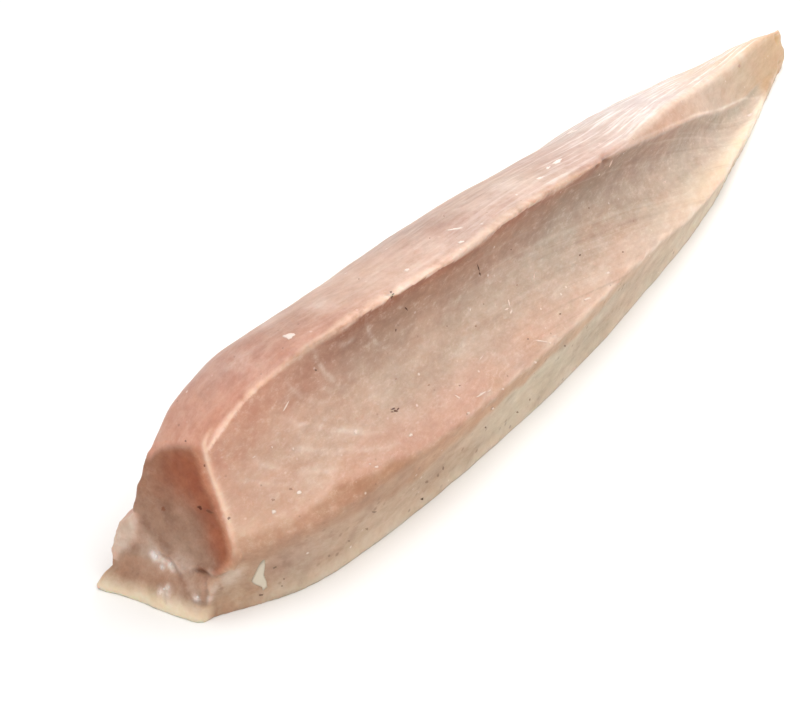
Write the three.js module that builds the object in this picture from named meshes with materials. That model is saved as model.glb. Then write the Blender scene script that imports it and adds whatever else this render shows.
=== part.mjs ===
// Albacore tuna loin: one long quarter of the fish, skinned, boned and trimmed, frozen firm.
// It lies on its flat backbone side. The face where the dark meat was trimmed off is a long shallow dish
// on the -Y side, the rounded skin side is on +Y, the head end is cut square and the tail ends in a blade.
// Millimetres, +Z up, +X from the head cut towards the tail, origin at the bottom centre of the bounding box.
import * as THREE from "three";

// Driving dimensions
const LENGTH = 455; // head cut to tail tip
const HEIGHT = 70; // table to the crest above the dish at the thickest part
const KEEL_REACH = 42; // centre line to the keel, the lower edge on the dish side
const BACK_REACH = 33; // centre line to the lower edge on the skin side
const DISH_DEPTH = 9; // how far the trimmed face is hollowed
const DISH_BIAS = 1.4; // above 1 the hollow is deepest nearer the upper rim
const HEAD_LEAN = 0.2; // how far the head cut leans back, for each millimetre of height
const HEAD_SKEW = 0.14; // how far it also stands forward, for each millimetre towards the skin side
const HEAD_FADES = 110; // length over which the sections come upright and square again
const TAIL_RAKE = 0.4; // how far the tail's end leans back, for each millimetre of height
const TAIL_FADES = 40;
const LEDGE_HEIGHT = 12; // a split across the head cut, above which the meat has broken away
const LEDGE_STEP = 3; // how far the broken meat is set back
const LEDGE_SLOPE = 0.1; // the split drops by this much for each millimetre towards the skin side
const LEDGE_WANDER = 1.2; // and it rises and falls by this much across the cut
const LEDGE_WAVE = 26; // from one rise of the split to the next
const EDGE_ROUND = 4; // radius of the two edges that lie on the table

// Mesh density
const STATIONS = 66;
const END_CROWDING = 0.55; // how much closer the sections lie at both ends, from 0 to 1
const HEAD_RINGS = 12;
const TAIL_RINGS = 3;
const POINTS = { edge: 3, band: 4, dish: 11, facet: 4, skin: 18, underside: 6 };

// Each line of the loin runs from the head cut, at 0, to the tail tip, at 1, through a few pairs: the place
// along the length, then the share of the size that the line is drawn to.
const LINES = {
  // Shares of KEEL_REACH: the keel, the band that bulges beyond it, the rim, and the facet above the rim
  keel: [
    [0, 0.35], [0.065, 0.75], [0.135, 0.88], [0.33, 1],
    [0.59, 0.84], [0.74, 0.575], [0.89, 0.255], [1, 0.03],
  ],
  bandOut: [[0, 0.12], [0.13, 0.14], [0.33, 0.12], [0.65, 0.1], [0.87, 0.05], [1, 0.03]],
  bandHollow: [[0, 0.1], [0.09, 0.02], [1, 0.01]],
  rimReach: [
    [0, 0.23], [0.065, 0.43], [0.13, 0.55], [0.28, 0.7],
    [0.41, 0.7], [0.61, 0.57], [0.76, 0.32], [1, 0.06],
  ],
  facetIn: [[0, 0.05], [0.47, 0.06], [0.565, 0.1], [0.63, 0.16], [0.77, 0.14], [1, 0.08]],

  // Shares of HEIGHT: the tops of the band, the rim and the facet
  bandTop: [[0, 0.29], [0.11, 0.4], [0.41, 0.38], [0.63, 0.2], [0.87, 0.08], [1, 0.06]],
  rimTop: [
    [0, 0.67], [0.043, 0.89], [0.1, 0.985], [0.28, 0.985], [0.435, 0.88], [0.565, 0.69],
    [0.67, 0.5], [0.76, 0.28], [0.85, 0.14], [0.92, 0.135], [1, 0.11],
  ],
  facetRise: [
    [0, 0.015], [0.3, 0.015], [0.47, 0.02], [0.565, 0.08],
    [0.67, 0.12], [0.76, 0.2], [0.84, 0.27], [1, 0.17],
  ],

  // Share of DISH_DEPTH
  dish: [[0, 0.06], [0.09, 0.45], [0.22, 0.9], [0.48, 1], [0.7, 0.66], [0.84, 0.15], [1, 0.02]],

  // Share of BACK_REACH
  back: [
    [0, 0.58], [0.13, 0.92], [0.24, 1], [0.33, 0.96], [0.45, 0.93],
    [0.565, 0.98], [0.76, 0.92], [0.9, 0.55], [1, 0.2],
  ],

  // How full the skin side is above and below, as shares of the width and height under its crest
  crown: [[0, 0.84], [0.03, 1], [0.06, 0.9], [0.1, 0.68], [0.2, 0.53], [1, 0.5]],
  crownTop: [[0, 0.88], [0.03, 0.98], [0.08, 1], [1, 1]],
  flank: [[0, 0.56], [0.04, 0.5], [0.09, 0.78], [0.2, 1], [0.7, 1], [1, 0.85]],
  flankTop: [[0, 0.78], [0.05, 0.62], [0.2, 0.5], [1, 0.5]],
};

// The value of a line at x millimetres: a smooth curve through its pairs that never overshoots them.
function along(line, x) {
  const place = x / LENGTH;
  const last = line.length - 1;
  const slope = (i) => (line[i + 1][1] - line[i][1]) / (line[i + 1][0] - line[i][0]);
  const tangent = (i) => {
    if (i === 0) return slope(0);
    if (i === last) return slope(last - 1);
    const product = slope(i - 1) * slope(i);
    return product <= 0 ? 0 : (2 * product) / (slope(i - 1) + slope(i));
  };
  let i = 0;
  while (i < last - 1 && place > line[i + 1][0]) i++;
  const span = line[i + 1][0] - line[i][0];
  const t = THREE.MathUtils.clamp((place - line[i][0]) / span, 0, 1);
  const rise = t * t * (3 - 2 * t);
  const leave = t * (1 - t) ** 2 * span * tangent(i);
  const arrive = t * t * (t - 1) * span * tangent(i + 1);
  return THREE.MathUtils.lerp(line[i][1], line[i + 1][1], rise) + leave + arrive;
}

// The corners of the cross-section at x, in its own plane: first towards the skin side, then up.
function corners(x) {
  const keel = new THREE.Vector2(-KEEL_REACH * along(LINES.keel, x), 0);
  const bulge = KEEL_REACH * along(LINES.bandOut, x);
  const band = new THREE.Vector2(keel.x - bulge, HEIGHT * along(LINES.bandTop, x));
  const rim = new THREE.Vector2(-KEEL_REACH * along(LINES.rimReach, x), HEIGHT * along(LINES.rimTop, x));
  const facet = new THREE.Vector2(KEEL_REACH * along(LINES.facetIn, x), HEIGHT * along(LINES.facetRise, x));
  const ridge = rim.clone().add(facet);
  const back = new THREE.Vector2(BACK_REACH * along(LINES.back, x), 0);
  return { keel, band, rim, ridge, back };
}

// Points of a rounded corner, from the side that comes in to the side that goes out.
function roundCorner(before, corner, after, radius) {
  const start = corner.clone().add(before.clone().sub(corner).setLength(radius));
  const end = corner.clone().add(after.clone().sub(corner).setLength(radius));
  return new THREE.QuadraticBezierCurve(start, corner, end).getPoints(POINTS.edge - 1);
}

// The closed cross-section at x, anticlockwise seen from the head: round the keel, up the band and the dish
// to the rim, over the facet, down the skin, and back along the underside.
function section(x) {
  const { keel, band, rim, ridge, back } = corners(x);
  const radius = Math.min(EDGE_ROUND, (back.x - keel.x) / 4);

  const edge = roundCorner(back, keel, band, radius);
  const hollow = new THREE.Vector2(KEEL_REACH * along(LINES.bandHollow, x), 0);
  const waist = keel.clone().lerp(band, 0.5).add(hollow);
  const rise = new THREE.QuadraticBezierCurve(edge[POINTS.edge - 1], waist, band).getPoints(POINTS.band);
  const outline = [...edge, ...rise.slice(1, -1)];

  const chord = rim.clone().sub(band);
  const inward = new THREE.Vector2(chord.y, -chord.x).normalize();
  const depth = DISH_DEPTH * along(LINES.dish, x);
  for (let i = 0; i < POINTS.dish; i++) {
    const share = i / POINTS.dish;
    const sink = depth * Math.sin(Math.PI * share ** DISH_BIAS);
    outline.push(band.clone().addScaledVector(chord, share).addScaledVector(inward, sink));
  }

  for (let i = 0; i < POINTS.facet; i++) {
    outline.push(rim.clone().lerp(ridge, i / POINTS.facet));
  }

  const under = new THREE.Vector2(back.x - ridge.x, ridge.y);
  const foot = new THREE.Vector2(ridge.x, 0);
  const crown = new THREE.Vector2(along(LINES.crown, x), along(LINES.crownTop, x)).multiply(under).add(foot);
  const flank = new THREE.Vector2(along(LINES.flank, x), along(LINES.flankTop, x)).multiply(under).add(foot);
  const heel = new THREE.Vector2(back.x, radius);
  const skin = new THREE.CubicBezierCurve(ridge, crown, flank, heel).getPoints(POINTS.skin);
  outline.push(...skin.slice(0, -1), ...roundCorner(flank, back, keel, radius));

  const last = outline[outline.length - 1];
  for (let i = 1; i < POINTS.underside; i++) {
    outline.push(last.clone().lerp(outline[0], i / POINTS.underside));
  }
  return outline;
}

// A section set in space: both ends lean back over the loin, and the lean fades along it.
function station(x) {
  const atHead = Math.max(0, 1 - x / HEAD_FADES) ** 2;
  const atTail = Math.max(0, 1 - (LENGTH - x) / TAIL_FADES) ** 2;
  const lean = HEAD_LEAN * atHead - TAIL_RAKE * atTail;
  const skew = HEAD_SKEW * atHead;
  const { keel } = corners(x);
  return section(x).map(({ x: y, y: z }) => new THREE.Vector3(x + lean * z - skew * (y - keel.x), y, z));
}

function middle(ring) {
  return ring.reduce((sum, point) => sum.add(point), new THREE.Vector3()).divideScalar(ring.length);
}

// The rings that close one end, shrinking towards the middle of the end's own ring.
function capRings(ring, rings) {
  const centre = middle(ring);
  const shrunk = (share) => ring.map((point) => point.clone().lerp(centre, share));
  return Array.from({ length: rings - 1 }, (_, i) => shrunk((i + 1) / rings));
}

// How far a point of the head cut is set back: the meat above the split has broken away.
function headRelief(point) {
  const wander = LEDGE_WANDER * Math.sin((2 * Math.PI * point.y) / LEDGE_WAVE);
  const split = LEDGE_HEIGHT - LEDGE_SLOPE * point.y + wander;
  return LEDGE_STEP * THREE.MathUtils.smoothstep(point.z, split - LEDGE_STEP, split + LEDGE_STEP);
}

// The loin is lofted through its sections, with both ends closed by their shrinking rings.
function loinGeometry() {
  const body = Array.from({ length: STATIONS }, (_, i) => {
    const share = i / (STATIONS - 1);
    const crowded = share - (END_CROWDING * Math.sin(2 * Math.PI * share)) / (2 * Math.PI);
    return station(LENGTH * crowded);
  });
  const head = [...capRings(body[0], HEAD_RINGS).reverse(), body[0]];
  const tail = capRings(body[STATIONS - 1], TAIL_RINGS);
  for (const point of head.flat()) {
    point.x += headRelief(point);
  }
  const rings = [...head, ...body.slice(1), ...tail];

  const count = rings[0].length;
  const lastRing = (rings.length - 1) * count;
  const vertices = rings.flat();
  const headCentre = vertices.push(middle(rings[0])) - 1;
  const tailCentre = vertices.push(middle(rings[rings.length - 1])) - 1;

  const index = [];
  for (let j = 0; j < count; j++) {
    const next = (j + 1) % count;
    index.push(headCentre, j, next, tailCentre, lastRing + next, lastRing + j);
    for (let i = 0; i < rings.length - 1; i++) {
      const [near, far] = [i * count, (i + 1) * count];
      index.push(near + j, far + j, far + next, near + j, far + next, near + next);
    }
  }
  const geometry = new THREE.BufferGeometry().setFromPoints(vertices).setIndex(index);
  geometry.computeVertexNormals();
  return geometry;
}

const loin = new THREE.Mesh(
  loinGeometry(),
  new THREE.MeshStandardMaterial({ color: 0xcfae9c, roughness: 0.5, metalness: 0 }),
);
loin.name = "loin";

// The origin is under the middle of the loin's box, on the table.
loin.geometry.computeBoundingBox();
const { min, max } = loin.geometry.boundingBox;
loin.position.set(-(min.x + max.x) / 2, -(min.y + max.y) / 2, -min.z);

const part = new THREE.Group();
part.add(loin);

export default part;
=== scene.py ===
import math
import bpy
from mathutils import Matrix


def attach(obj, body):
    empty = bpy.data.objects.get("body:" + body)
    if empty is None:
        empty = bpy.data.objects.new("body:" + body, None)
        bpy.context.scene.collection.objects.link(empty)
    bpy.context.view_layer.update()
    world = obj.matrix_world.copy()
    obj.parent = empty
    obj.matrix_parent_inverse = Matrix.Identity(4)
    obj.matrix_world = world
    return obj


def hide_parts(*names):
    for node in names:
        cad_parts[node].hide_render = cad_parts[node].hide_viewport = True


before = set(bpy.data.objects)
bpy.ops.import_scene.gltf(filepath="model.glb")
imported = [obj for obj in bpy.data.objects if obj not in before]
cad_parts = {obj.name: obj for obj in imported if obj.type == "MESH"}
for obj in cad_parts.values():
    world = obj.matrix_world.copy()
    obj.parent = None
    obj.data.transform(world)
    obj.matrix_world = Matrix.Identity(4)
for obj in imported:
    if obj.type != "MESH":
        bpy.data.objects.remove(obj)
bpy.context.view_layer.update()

from types import SimpleNamespace

import bpy
import numpy as np
from mathutils import Vector, noise

# The camera stands where the photograph was taken from: low over the head end, looking along the loin
# towards its tail. Its picture is 800 by 702 pixels, and marks on the flesh are placed by those pixels.
PICTURE_WIDTH = 800
PICTURE_HEIGHT = 702
AIM = Vector((-0.0845, 0.0217, 0.0))
AZIMUTH = math.radians(-56.12)
ELEVATION = math.radians(34.0)
DISTANCE = 0.5229
FIELD_OF_VIEW = math.radians(30.0)

BACKWARD = Vector((
    math.sin(AZIMUTH) * math.cos(ELEVATION),
    -math.cos(AZIMUTH) * math.cos(ELEVATION),
    math.sin(ELEVATION),
))
EYE = AIM + BACKWARD * DISTANCE
bpy.ops.object.camera_add(location=EYE, rotation=BACKWARD.to_track_quat("Z", "Y").to_euler())
camera = bpy.context.object
camera.name = "photo_camera"
camera.data.sensor_fit = "HORIZONTAL"
camera.data.angle = FIELD_OF_VIEW
bpy.context.scene.camera = camera
bpy.context.view_layer.update()


def sight_line(column, row):
    """The direction in which the camera sees a pixel of the picture."""
    half_width = math.tan(FIELD_OF_VIEW / 2)
    right = (2 * column / PICTURE_WIDTH - 1) * half_width
    up = (1 - 2 * row / PICTURE_HEIGHT) * half_width * PICTURE_HEIGHT / PICTURE_WIDTH
    return camera.matrix_world.to_3x3() @ Vector((right, up, -1)).normalized()


# The loin's form: one long quarter of the fish, cut off the bone, skinned, trimmed and frozen firm.
# The solid is merged into one skin, rounded a little at its cut edges, and remeshed into small even faces.
MM = 0.001
WELD_GAP = 0.01 * MM
CREASED_FROM = math.radians(32)
EDGE_CREASE = 0.92
ROUNDING_LEVELS = 2
FACE_SIZE = 1.4 * MM
EVENING_PULL = 0.5
EVENING_ROUNDS = 2


def select_only(thing):
    """Leaves one object selected and active."""
    bpy.ops.object.select_all(action="DESELECT")
    thing.select_set(True)
    bpy.context.view_layer.objects.active = thing


def apply_modifier(thing, kind, **settings):
    """Adds a modifier, sets it and applies it."""
    modifier = thing.modifiers.new(kind.lower(), kind)
    for name, value in settings.items():
        setattr(modifier, name, value)
    bpy.ops.object.modifier_apply(modifier=modifier.name)


loin = bpy.data.objects.new("frozen_loin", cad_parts["loin"].data.copy())
bpy.context.scene.collection.objects.link(loin)
loin.data.materials.clear()
select_only(loin)
bpy.ops.mesh.customdata_custom_splitnormals_clear()
bpy.ops.object.mode_set(mode="EDIT")
bpy.ops.mesh.select_mode(type="EDGE")
bpy.ops.mesh.select_all(action="SELECT")
bpy.ops.mesh.remove_doubles(threshold=WELD_GAP)
bpy.ops.mesh.tris_convert_to_quads()
bpy.ops.mesh.select_all(action="DESELECT")
bpy.ops.mesh.edges_select_sharp(sharpness=CREASED_FROM)
bpy.ops.transform.edge_crease(value=EDGE_CREASE)
bpy.ops.object.mode_set(mode="OBJECT")
apply_modifier(loin, "SUBSURF", levels=ROUNDING_LEVELS, render_levels=ROUNDING_LEVELS)
loin.data.remesh_voxel_size = FACE_SIZE
bpy.ops.object.voxel_remesh()
apply_modifier(loin, "SMOOTH", factor=EVENING_PULL, iterations=EVENING_ROUNDS)

# The lines that divide the loin's surface, from the head cut at 0 to the tail tip at 1: the place along
# the length, then the share of the reach or of the height.
LENGTH = 455 * MM
HEIGHT = 70 * MM
KEEL_REACH = 42 * MM
HEAD_LEAN = 0.2
HEAD_SKEW = 0.14
HEAD_FADES = 110 * MM
LEAN_ROUNDS = 4
FOOT_X = -225.3 * MM
FOOT_Y = 7.0 * MM
RIM_SLANT = 0.3
LINES = {
    "keel": [
        (0, 0.35), (0.065, 0.75), (0.135, 0.88), (0.33, 1),
        (0.59, 0.84), (0.74, 0.575), (0.89, 0.255), (1, 0.03),
    ],
    "band_out": [(0, 0.12), (0.13, 0.14), (0.33, 0.12), (0.65, 0.1), (0.87, 0.05), (1, 0.03)],
    "band_top": [(0, 0.29), (0.11, 0.4), (0.41, 0.38), (0.63, 0.2), (0.87, 0.08), (1, 0.06)],
    "rim_reach": [
        (0, 0.23), (0.065, 0.43), (0.13, 0.55), (0.28, 0.7),
        (0.41, 0.7), (0.61, 0.57), (0.76, 0.32), (1, 0.06),
    ],
    "rim_top": [
        (0, 0.67), (0.043, 0.89), (0.1, 0.985), (0.28, 0.985), (0.435, 0.88), (0.565, 0.69),
        (0.67, 0.5), (0.76, 0.28), (0.85, 0.14), (0.92, 0.135), (1, 0.11),
    ],
    "facet_in": [(0, 0.05), (0.47, 0.06), (0.565, 0.1), (0.63, 0.16), (0.77, 0.14), (1, 0.08)],
    "facet_rise": [
        (0, 0.015), (0.3, 0.015), (0.47, 0.02), (0.565, 0.08),
        (0.67, 0.12), (0.76, 0.2), (0.84, 0.27), (1, 0.17),
    ],
}


def line_at(name, place):
    """A line's share at places along the loin: a smooth curve through its pairs that never overshoots."""
    at, share = np.array(LINES[name], float).T
    span = np.diff(at)
    slope = np.diff(share) / span
    product = slope[:-1] * slope[1:]
    total = slope[:-1] + slope[1:]
    inner = np.where(product > 0, 2 * product / np.where(product > 0, total, 1), 0)
    tangent = np.concatenate([slope[:1], inner, slope[-1:]])
    i = np.clip(np.searchsorted(at, place) - 1, 0, len(span) - 1)
    t = np.clip((place - at[i]) / span[i], 0, 1)
    leave = t * (1 - t) ** 2 * span[i] * tangent[i]
    arrive = t * t * (t - 1) * span[i] * tangent[i + 1]
    return share[i] + (share[i + 1] - share[i]) * t * t * (3 - 2 * t) + leave + arrive


def lengthwise(points):
    """How far each point is from the head cut, with the cut's lean and skew taken out."""
    along = points[:, 0] - FOOT_X
    for _ in range(LEAN_ROUNDS):
        keel = FOOT_Y - KEEL_REACH * line_at("keel", along / LENGTH)
        fade = np.clip(1 - along / HEAD_FADES, 0, None) ** 2
        leaning = HEAD_LEAN * points[:, 2] - HEAD_SKEW * (points[:, 1] - keel)
        along = points[:, 0] - FOOT_X - fade * leaning
    return along


def survey(points, normals):
    """Where points of the surface lie: along the loin, and up its dish in each section's own plane."""
    along = lengthwise(points)
    place = np.clip(along / LENGTH, 0, 1)
    y = points[:, 1] - FOOT_Y
    z = points[:, 2]
    band_y = -KEEL_REACH * (line_at("keel", place) + line_at("band_out", place))
    band_z = HEIGHT * line_at("band_top", place)
    rim_y = -KEEL_REACH * line_at("rim_reach", place)
    rim_z = HEIGHT * line_at("rim_top", place)
    ridge_y = rim_y + KEEL_REACH * line_at("facet_in", place)
    ridge_z = rim_z + HEIGHT * line_at("facet_rise", place)
    chord = np.hypot(rim_y - band_y, rim_z - band_z)
    up_y = (rim_y - band_y) / chord
    up_z = (rim_z - band_z) / chord
    return SimpleNamespace(
        along=along, place=place, y=y, z=z, chord=chord, up_y=up_y, up_z=up_z,
        ridge_y=ridge_y, ridge_z=ridge_z,
        climb=(y - band_y) * up_y + (z - band_z) * up_z,
        depth=(y - band_y) * up_z - (z - band_z) * up_y,
        facing=normals[:, 2] * up_y - normals[:, 1] * up_z,
        rim_gap=np.hypot(y - rim_y, z - rim_z),
        over_rim=y - rim_y + RIM_SLANT * (z - rim_z),
        band_gap=np.hypot(y - band_y, z - band_z),
        ridge_gap=np.hypot(y - ridge_y, z - ridge_z),
    )


def read_vectors(source, field):
    """One vector for each vertex, normal or face, as an array of rows."""
    values = np.empty(len(source) * 3)
    source.foreach_get(field, values)
    return values.reshape(-1, 3)


# Faces are split once more at the head cut, along the crisp upper rim and in the near part of the dish.
FINE_HEAD = 13 * MM
FINE_RIM = 3 * MM
FINE_DISH = 0.62
DISH_REACH = 15 * MM

at = survey(read_vectors(loin.data.polygons, "center"), read_vectors(loin.data.polygons, "normal"))
in_dish = (at.climb > 0) & (at.climb < at.chord) & (at.depth < DISH_REACH) & (at.facing > 0)
fine = (at.along < FINE_HEAD) | (at.rim_gap < FINE_RIM) | (in_dish & (at.place < FINE_DISH))
loin.data.polygons.foreach_set("select", fine)
bpy.ops.object.mode_set(mode="EDIT")
bpy.ops.mesh.select_mode(type="FACE")
bpy.ops.mesh.subdivide(number_cuts=1, smoothness=0.0)
bpy.ops.object.mode_set(mode="OBJECT")


def smooth_step(low, high, value):
    """Goes smoothly from 0 at low to 1 at high."""
    share = np.clip((value - low) / (high - low), 0, 1)
    return share * share * (3 - 2 * share)


def bell(distance, reach):
    """1 where the distance is nothing, fading to a third at the reach."""
    return np.exp(-((distance / reach) ** 2))


# The edges of the head cut above its split have slumped soft, and the rim is worn flat before the tip. All
# the wide faces between the edges are evened out.
SOFT_EDGE_DEPTH = 9 * MM
SOFT_EDGE_FROM = 20 * MM
SOFT_EDGE_ROUNDS = 7
WORN_RIM_FROM = 0.855
WORN_RIM_REACH = 8 * MM
WORN_RIM_ABOVE = 2 * MM
WORN_RIM_ROUNDS = 40
CRISP_EDGE = 2.5 * MM
FACES_FROM = 12 * MM
FACES_UNTIL = 0.98
FACES_ABOVE = 3 * MM
FACE_ROUNDS = 8

points = read_vectors(loin.data.vertices, "co")
at = survey(points, points)
soft_edges = (at.along < SOFT_EDGE_DEPTH) & (at.z > SOFT_EDGE_FROM)
worn_rim = (at.place > WORN_RIM_FROM) & (at.rim_gap < WORN_RIM_REACH) & (at.z > WORN_RIM_ABOVE)
off_edges = (at.rim_gap > CRISP_EDGE) & (at.band_gap > CRISP_EDGE) & (at.z > FACES_ABOVE)
wide_faces = off_edges & (at.along > FACES_FROM) & (at.place < FACES_UNTIL)
soft_parts = {
    "soft_edges": (soft_edges, SOFT_EDGE_ROUNDS),
    "worn_rim": (worn_rim, WORN_RIM_ROUNDS),
    "wide_faces": (wide_faces, FACE_ROUNDS),
}
for name, (chosen, rounds) in soft_parts.items():
    loin.vertex_groups.new(name=name).add(np.flatnonzero(chosen).tolist(), 1.0, "REPLACE")
    apply_modifier(loin, "SMOOTH", factor=EVENING_PULL, iterations=rounds, vertex_group=name)
loin.vertex_groups.clear()

# The flank by the head cut hangs in soft folds: how far it is pushed out at each height.
FOLD_HEIGHTS = np.array([0, 3, 4.8, 6.7, 10, 15, 18.5, 20.5, 23, 27, 32, 36, 43, 49, 65]) * MM
FOLD_PUSHES = np.array([0, -0.8, -1, -1.8, 1.2, 1.7, 1.7, -1, -2.2, -1.2, -1.4, -2.6, -3.4, -3.4, 0]) * MM
FOLD_FADES = (18 * MM, 8 * MM)
FOLD_SIDE = (6 * MM, 17 * MM)
points = read_vectors(loin.data.vertices, "co")
at = survey(points, points)
folds = np.interp(at.z, FOLD_HEIGHTS, FOLD_PUSHES)
points[:, 1] += folds * smooth_step(*FOLD_FADES, at.along) * smooth_step(*FOLD_SIDE, at.y)
loin.data.vertices.foreach_set("co", points.ravel())
loin.data.update()
bpy.context.view_layer.update()
points = read_vectors(loin.data.vertices, "co")
normals = read_vectors(loin.data.vertex_normals, "vector")
at = survey(points, normals)


def on_loin(column, row):
    """The point of the loin that the picture shows at a pixel, and the way it faces."""
    found, spot, facing, _ = loin.ray_cast(EYE, sight_line(column, row))
    if not found:
        raise ValueError(f"the loin doesn't show at pixel {column}, {row}")
    return np.array(spot), np.array(facing)


def drawn(path):
    """Each vertex's gap to a path drawn on the picture, and the path's value where it is nearest."""
    spots = [on_loin(column, row)[0] for column, row, _ in path]
    values = [value for _, _, value in path]
    gap = np.full(len(points), np.inf)
    nearest = np.zeros(len(points))
    for start, end, value, next_value in zip(spots, spots[1:], values, values[1:]):
        step = end - start
        share = np.clip((points - start) @ step / (step @ step), 0, 1)
        distance = np.linalg.norm(points - start - share[:, None] * step, axis=1)
        nearer = distance < gap
        gap = np.where(nearer, distance, gap)
        nearest = np.where(nearer, value + share * (next_value - value), nearest)
    return gap, nearest


# Light comes through the flesh at the edges of the head cut, so its brown stops short of them. The cut's
# top edge, its edge towards the dish and the band, and its edge towards the flank are drawn by the
# picture's column and row.
CUT_TOP = [(152, 453), (156, 447), (163, 442), (185, 440), (200, 440), (207, 442)]
CUT_SIDE = [
    (204, 443), (207, 460), (212, 478), (218, 493), (224, 511), (230, 530), (235, 550), (234, 562),
    (222, 574), (211, 578), (208, 590), (206, 606),
]
CUT_FLANK = [(138, 512), (140, 521), (140, 532), (137, 542), (128, 549), (121, 555), (119, 562)]
CUT_FADE = 3.4 * MM
FLANK_FADE = 1.8 * MM
SIDE_FADE_HEIGHTS = np.array([14, 26, 38, 60]) * MM
SIDE_FADES = np.array([2.4, 3.2, 5.6, 5.0]) * MM
FAR_OFF = 1.0
top = np.array(sorted((on_loin(column, row)[0] for column, row in CUT_TOP), key=lambda spot: spot[1]))
side = np.array(sorted((on_loin(column, row)[0] for column, row in CUT_SIDE), key=lambda spot: spot[2]))
flank = np.array(sorted((on_loin(column, row)[0] for column, row in CUT_FLANK), key=lambda spot: spot[2]))
below_top = np.interp(points[:, 1], top[:, 1], top[:, 2]) - points[:, 2]
inside = points[:, 1] - np.interp(points[:, 2], side[:, 2], side[:, 1])
flank_line = np.interp(points[:, 2], flank[:, 2], flank[:, 1], left=FAR_OFF, right=FAR_OFF)
off_flank = flank_line - points[:, 1]

# Shares from 0 to 1 of each kind of surface. The head cut is set back above its split, and the lower rim
# is soft near the head. A pair says where a share starts and where it is whole.
LEDGE_HEIGHT = 12 * MM
LEDGE_STEP = 3 * MM
LEDGE_TILT = 0.1
UNDER_TURN = (-0.75, -0.95)
UNDER_HEIGHT = (3 * MM, 1 * MM)
CUT_DEPTH = (2.3 * MM, 1.1 * MM)
FRONT_DEPTH = (19 * MM, 15 * MM)
FRONT_TURN = (-0.2, 0.1)
RIM_ENDS = (0.865, 0.905)
RIM_EDGE = 0.8 * MM
BAND_EDGE_PLACES = [0.05, 0.3, 0.6]
BAND_EDGES = np.array([2.6, 1.4, 0.8]) * MM
BAND_SAG_PLACES = [0.14, 0.2]
BAND_SAGS = np.array([0, 1.1]) * MM
RIDGE_EDGE = 2 * MM
FACET_STARTS = (0.46, 0.56)
across = at.climb / at.chord
below_rim = at.chord - at.climb
over_ledge = at.z + LEDGE_TILT * at.y
set_back = LEDGE_STEP * smooth_step(LEDGE_HEIGHT - LEDGE_STEP, LEDGE_HEIGHT + LEDGE_STEP, over_ledge)
under = smooth_step(*UNDER_TURN, normals[:, 2]) * smooth_step(*UNDER_HEIGHT, at.z)
cut = smooth_step(*CUT_DEPTH, at.along - set_back) * (1 - under)
brown = cut * smooth_step(0, CUT_FADE, below_top) * smooth_step(-FLANK_FADE, FLANK_FADE, off_flank)
side_fade = np.interp(at.z, SIDE_FADE_HEIGHTS, SIDE_FADES)
brown *= smooth_step(0, 1, inside / side_fade)
front = smooth_step(*FRONT_DEPTH, at.depth) * smooth_step(*FRONT_TURN, at.facing)
front *= (1 - brown) * (1 - under)
worn = smooth_step(*RIM_ENDS, at.place)
band_edge = np.interp(at.place, BAND_EDGE_PLACES, BAND_EDGES)
band_sag = np.interp(at.place, BAND_SAG_PLACES, BAND_SAGS)
above_band = smooth_step(-band_edge, band_edge, at.climb + band_sag)
dish = front * above_band * smooth_step(-RIM_EDGE, RIM_EDGE, below_rim) * (1 - worn)
band = front * (1 - above_band) * (1 - worn)
skin = np.clip(1 - dish - band - brown - under, 0, 1)
past_ridge = smooth_step(-RIDGE_EDGE, RIDGE_EDGE, at.y - at.ridge_y)
facet = skin * (1 - past_ridge) * smooth_step(*FACET_STARTS, at.place)

# Fibres run lengthwise round the loin's core. In the dish they are cut through, so they sweep down towards
# the tail.
AROUND_REACH = 35 * MM
CORE_IN = 8 * MM
CORE_HEIGHT = 0.3
SWEEP = 11.0
around = AROUND_REACH * np.arctan2(at.y - at.ridge_y - CORE_IN, at.z - CORE_HEIGHT * at.ridge_z)
sweep_run = at.along - SWEEP * below_rim

# The relief: frozen flesh is a little lumpy all over, ribbed along its fibres, rough where it was torn
# at the head cut, ragged along the rim and at the tip. The underside stays flat.
BROAD_WAVE, BROAD_RISE = 42 * MM, 0.6 * MM
LUMP_WAVE, LUMP_RISE = 13 * MM, 0.3 * MM
PEBBLE_WAVE, PEBBLE_RISE = 4 * MM, 0.1 * MM
RIB_LENGTH, RIB_WAVE, RIB_RISE = 60 * MM, 3.0 * MM, 0.5 * MM
RIBS_LEAST, RIBS_GROW = 0.2, (0.42, 0.6)
SWEEP_WAVE, SWEEP_LENGTH, SWEEP_RISE = 32 * MM, 40 * MM, 0.12 * MM
TORN_WAVE, TORN_RISE = 6 * MM, 0.5 * MM
TORN_GRIT, TORN_GRIT_RISE = 2.2 * MM, 0.2 * MM
BURR_RISE, BURR_REACH, BURR_WAVE, BURR_TOOTH = 0.7 * MM, 1.2 * MM, 9 * MM, 2.6 * MM
FAT_GRIT, FAT_GRIT_RISE = 1.7 * MM, 0.3 * MM
TIP_FROM, TIP_WAVE, TIP_RAG = 0.965, 4.5 * MM, 3.5 * MM
TAIL_DRAW = 0.35
SEED_SHIFT = Vector((3.1, 7.7, 5.3))


def noise_field(places, seed):
    """Smooth noise from about -1 to 1 for each place, with rises one unit apart."""
    shift = SEED_SHIFT * seed
    return np.array([noise.noise(Vector(place) + shift) for place in places])


flat = np.zeros(len(points))
drawn_out = points - np.stack([TAIL_DRAW * at.along * at.place, flat, flat], 1)
lift = BROAD_RISE * noise_field(points / BROAD_WAVE, 1)
lift += LUMP_RISE * noise_field(drawn_out / LUMP_WAVE, 2)
lift += PEBBLE_RISE * noise_field(drawn_out / PEBBLE_WAVE, 3)

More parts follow.
